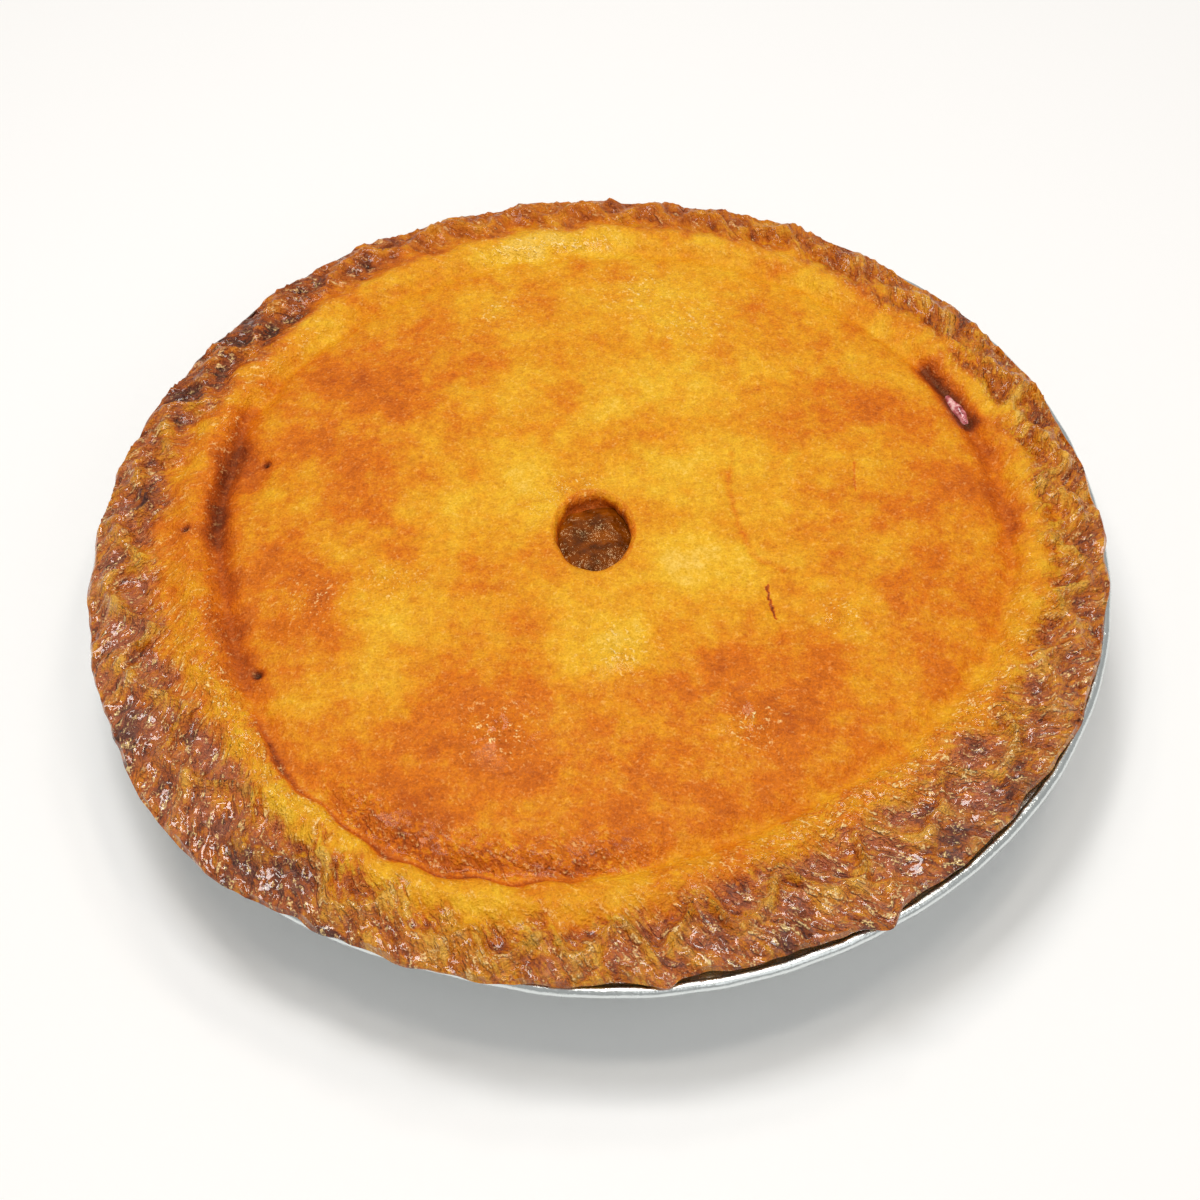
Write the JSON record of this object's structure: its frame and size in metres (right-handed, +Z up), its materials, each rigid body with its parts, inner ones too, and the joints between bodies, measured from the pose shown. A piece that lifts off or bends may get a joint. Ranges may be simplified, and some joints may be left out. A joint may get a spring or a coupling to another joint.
{
  "type": "apple pie",
  "caption": "Whole baked apple pie with a crimped golden crust, a round steam vent and a split, in its round foil tin.",
  "frame": {"origin": "centre of the pie's footprint, on the surface that the tin stands on", "axes": "+Z up, -Y towards the front where the tin's rim shows under the crust, +X to the right as seen from the front"},
  "size_m": [0.2406, 0.2412, 0.0376],
  "materials": {
    "foil": "bright pressed foil, slightly wrinkled",
    "crust": null,
    "filling": null
  },
  "bodies": {
    "root": {"foil_tin": "foil", "pie_crust": "crust", "apple_filling": "filling"}
  },
  "joints": []
}
